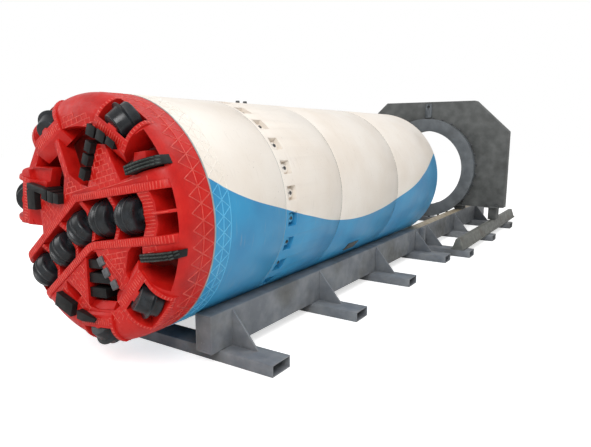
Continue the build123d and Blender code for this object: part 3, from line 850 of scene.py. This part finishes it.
# the courses change their heading along a line that falls to the right
for heading in (lower_left_heading, upper_heading):
    course = Vector((math.cos(math.radians(heading)), 0, math.sin(math.radians(heading))))
    rise = Vector((-course.z, 0, course.x))
    for row in range(-20, 21):
        for column in range(-14, 15):
            spot = course * brick_length * (column + row % 2 / 2) + rise * course_pitch * row
            lower_left = spot.x * 0.77 + spot.z < -0.02
            if lower_left != (heading == lower_left_heading):
                continue
            for middle, lay, length in (
                (spot, course, brick_length * brick_overlap),
                (spot + rise * course_pitch / 2, rise, course_pitch),
            ):
                if on_face(middle, lay, length):
                    size = (length, course_width, course_height)
                    face_places.append(seat(face_spot(middle), lay, front, size))
bricks = copies(unit_run, face_places, keep=True)
finish_piece(bricks, "face_hardfacing", red_weld_painted_highlight, "cutterhead")

# carbide blocks along the edge of the lower right plate, beside the set-back scrapers
carbide = soften(slab((0.052, 0.046, 0.026), 0.007, 0.004), 0.003)
plate_edge = Vector((0.52, 0, -0.85))
carbide_places = []
for height in (-0.212, -0.272, -0.332):
    for step in range(80):
        spot = Vector((0.06 + step * 0.004, 0, height))
        if on_face(spot + sideways * 0.004, sideways, 0.006):
            carbide_places.append(seat(face_spot(spot + sideways * 0.016), plate_edge, front))
            break
carbides = copies(carbide, carbide_places)
finish_piece(carbides, "carbide_blocks", carbide_grey, "cutterhead")

# weld runs across the front of every saddle, wherever it is wide enough for one
saddle_skin = skin_of("cutter_saddles")
saddle_run = 0.024
saddle_reach = 0.006
saddle_spacing = 0.0165
level_ends = 0.01
saddle_places = []
for arm in (right_arm, left_arm):
    side = arm.cross(front).normalized()
    for reach in range(8, 120):
        for lane in range(-6, 7):
            spot = centre + arm * reach * saddle_reach + side * lane * run_pitch
            hit, normal = seen_from_front(saddle_skin, spot)
            if hit is None or hit.y - flange_front > flange_rake or normal.y > -0.6:
                continue
            half_run = arm * saddle_run / 2
            ends = [seen_from_front(saddle_skin, spot + half_run * way)[0] for way in (-1, 1)]
            if any(end is None or abs(end.y - hit.y) > level_ends for end in ends):
                continue
            if any((hit - old.to_translation()).length < saddle_spacing for old in saddle_places):
                continue
            flat = (arm - normal * arm.dot(normal)).normalized()
            saddle_places.append(seat(hit, flat, normal, (saddle_run, bead_width, bead_height)))
saddle_welds = copies(unit_run, saddle_places, keep=True)
finish_piece(saddle_welds, "saddle_hardfacing", red_weld_painted_highlight, "cutterhead")

# steel collars on the bosses that carry the disc cutters
collar_outer = 0.046
collar_inner = 0.0385
collar_gap = 0.0006
disc_half_width = 0.0746
collars = []
for index in cutter_numbers:
    joint = joints[f"disc_cutter_{index}_spin"]
    axis = Vector(joint["axis"]).normalized()
    for way in (1, -1):
        start = Vector(joint["pos_m"]) + rearward * collar_outer
        wall = saddle_skin.ray_cast(start, axis * way)[0]
        if wall is None or (wall - start).length > 0.2:
            continue
        near = way * disc_half_width
        far = way * ((wall - start).length - collar_gap)
        collar = hoop([
            (near, collar_inner), (near, collar_outer), (far, collar_outer), (far, collar_inner),
        ], 40)
        collars.append(soften(settle(collar, axle_seat(joint))))
finish_piece(joined(collars), "axle_collars", forged_black, "cutterhead")

# weld runs across the end walls and cheeks of the gauge cutter housings
housing_skin = skin_of("gauge_housings")
cheek_places = []
for index in cutter_numbers:
    joint = joints[f"gauge_cutter_{index}_spin"]
    origin = Vector(joint["pos_m"])
    axle = Vector(joint["axis"]).normalized()
    radial = Vector((axle.x, 0, axle.z)).normalized()
    away = (radial - axle * radial.dot(axle)).normalized()
    around = away.cross(axle)
    lanes = [
        # the wall's middle line, the way from run to run, the lay of a run and its length,
        # and the first and last station
        (around * 0.1305 - axle * 0.01, axle, around, 0.021, -0.12, 0.11),
        (around * -0.1305 - axle * 0.01, axle, around, 0.021, -0.12, 0.11),
        (axle * -0.1065, around, axle, 0.040, -0.115, 0.115),
        (axle * 0.0835, around, axle, 0.030, -0.115, 0.115),
    ]
    for middle, along, lay, width, first, last in lanes:
        for step in range(-16, 17):
            if not first < step * run_pitch < last:
                continue
            point = origin + middle + along * step * run_pitch
            hit, normal, _, _ = housing_skin.ray_cast(point + away * 0.5, -away)
            if hit is None or (hit - point).length > 0.2 or normal.dot(away) < 0.35:
                continue
            flat = (lay - normal * lay.dot(normal)).normalized()
            cheek_places.append(seat(hit, flat, normal, (width, bead_width, bead_height)))
cheek_welds = copies(unit_run, cheek_places, keep=True)
finish_piece(cheek_welds, "housing_hardfacing", red_weld_painted_highlight, "cutterhead")

# ---------------------------------------------------------------- cradle
for name in ("beam_left", "beam_right"):
    eased_copy(name, 0.004, beam_grey)
for name in ("gussets_left", "gussets_right", *[f"sleeper_{i}" for i in range(1, 8)]):
    eased_copy(name, 0.003, cradle_grey)

# closing plates in the open ends of the box beams
beam_middle = (beam_low + beam_high) / 2
end_plate = soften(slab((0.107, 0.224, 0.008)), 0.001)
end_places = []
for side in (-1, 1):
    for y, outward in ((beam_low.y + 0.005, front), (beam_high.y - 0.005, rearward)):
        end_places.append(seat(Vector((side * beam_middle.x, y, beam_middle.z)), sideways, outward))
end_plates = copies(end_plate, end_places)
finish_piece(end_plates, "beam_end_plates", cradle_grey, "cradle")

for name in ("outer_rail_left", "outer_rail_right"):
    eased_copy(name, 0.003, rail_steel)

# ---------------------------------------------------------------- thrust frame
eased_copy("thrust_plate", 0.004, plate_grey)
eased_copy("thrust_ring", 0.003, ring_grey)
eased_copy("slide_shoes", 0.003, plate_grey)
eased_copy("lifting_lug", 0.0, ring_grey)

# clips round the rim of the thrust ring
ring_radius = (ring_high.x - ring_low.x) / 2
clip_count = 32
clip = soften(slab((0.034, 0.016, 0.03), 0.004, 0.003), 0.002)
clip_places = []
for index in range(clip_count):
    angle = 2 * math.pi * (index + 0.5) / clip_count
    outward = Vector((math.cos(angle), 0, math.sin(angle)))
    point = centre + outward * (ring_radius + 0.006) + Vector((0, ring_high.y - 0.016, 0))
    around = Vector((-outward.z, 0, outward.x))
    clip_places.append(seat(point, around, outward))
finish_piece(copies(clip, clip_places), "ring_clips", bolt_black, "thrust_frame")

# foot plates with two bolts over every shoe
bolt = hex_bolt(0.034, 0.022)
foot_thickness = 0.014
foot = soften(slab((0.20, 0.075, foot_thickness)), 0.002)
foot_places = []
foot_bolts = []
for side in (-1, 1):
    for x in (beam_middle.x, (rail_low.x + rail_high.x) / 2):
        base = Vector((side * x, plate_low.y - 0.03, plate_low.z + foot_thickness / 2))
        foot_places.append(seat(base, sideways, upward))
        for shift in (-0.06, 0.06):
            top = base + sideways * shift + upward * foot_thickness / 2
            foot_bolts.append(seat(top, sideways, upward))
finish_piece(copies(foot, foot_places), "foot_plates", plate_grey, "thrust_frame")
bolts = soften(copies(bolt, foot_bolts))
finish_piece(bolts, "foot_bolts", bolt_black, "thrust_frame")

# ---------------------------------------------------------------- closed inner parts
for name in ("tail_bulkhead", "slurry_pipes", "joint_spigot", "bulkhead"):
    eased_copy(name, 0.002, primer_grey)
eased_copy("main_drive", 0.008, drive_blue)
bpy.data.objects.remove(unit_run)

# ---------------------------------------------------------------- floor and light
clear_bench()
floor_glow = 0.62
bpy.ops.mesh.primitive_plane_add(size=60)
floor = bpy.context.object
floor.name = "studio_floor"
floor_finish, floor_tree, floor_shader, _ = new_finish("pale_studio_floor", 0.9)
floor_shader.inputs["Base Color"].default_value = colour("#F4F4F2")
sight = add(floor_tree, "ShaderNodeLightPath")
glow = add(floor_tree, "ShaderNodeEmission", {"Color": colour("#FFFFFF"), "Strength": floor_glow})
both = add(floor_tree, "ShaderNodeAddShader", {0: floor_shader.outputs[0], 1: glow.outputs[0]})
shown = add(
    floor_tree, "ShaderNodeMixShader",
    {0: sight.outputs["Is Camera Ray"], 1: floor_shader.outputs[0], 2: both.outputs[0]},
)
floor_tree.links.new(shown.outputs[0], floor_tree.nodes["Material Output"].inputs["Surface"])
floor.data.materials.append(floor_finish)

# the sky lights the machine softly; it is white where it is seen, and nearly so where it is mirrored
sky_light = 0.42
sky_seen = 1.0
mirrored_share = 0.6
world = bpy.data.worlds.new("studio")
bpy.context.scene.world = world
world.use_nodes = True
sky = world.node_tree
sight = add(sky, "ShaderNodeLightPath")
seen = sum_of(sky, "MAXIMUM", sight.outputs["Is Camera Ray"], sight.outputs["Is Transmission Ray"])
mirrored = sum_of(sky, "MULTIPLY", sight.outputs["Is Glossy Ray"], mirrored_share)
seen = sum_of(sky, "MAXIMUM", seen, mirrored)
level = banded(sky, seen, 0.0, 1.0, sky_light, sky_seen)
background = sky.nodes["Background"]
background.inputs["Color"].default_value = colour("#FFFFFF")
sky.links.new(level, background.inputs["Strength"])

for name, place, target, size, power in (
    # where it hangs, the point it is aimed at, its width and its power in watts
    ("key_softbox", (4.5, -9.0, 6.5), (0, -1.5, 0.9), 4.0, 430),
    ("fill_softbox", (-7.0, -6.0, 4.0), (0, -1.0, 0.9), 5.0, 120),
    ("top_softbox", (1.0, 0.5, 8.0), (0, 0.5, 0.5), 7.0, 260),
):
    lamp = bpy.data.lights.new(name, "AREA")
    lamp.size = size
    lamp.energy = power
    lamp_object = bpy.data.objects.new(name, lamp)
    lamp_object.location = place
    aim = Vector(target) - Vector(place)
    lamp_object.rotation_euler = aim.to_track_quat("-Z", "Y").to_euler()
    bpy.context.scene.collection.objects.link(lamp_object)
bpy.context.scene.view_settings.view_transform = "Standard"
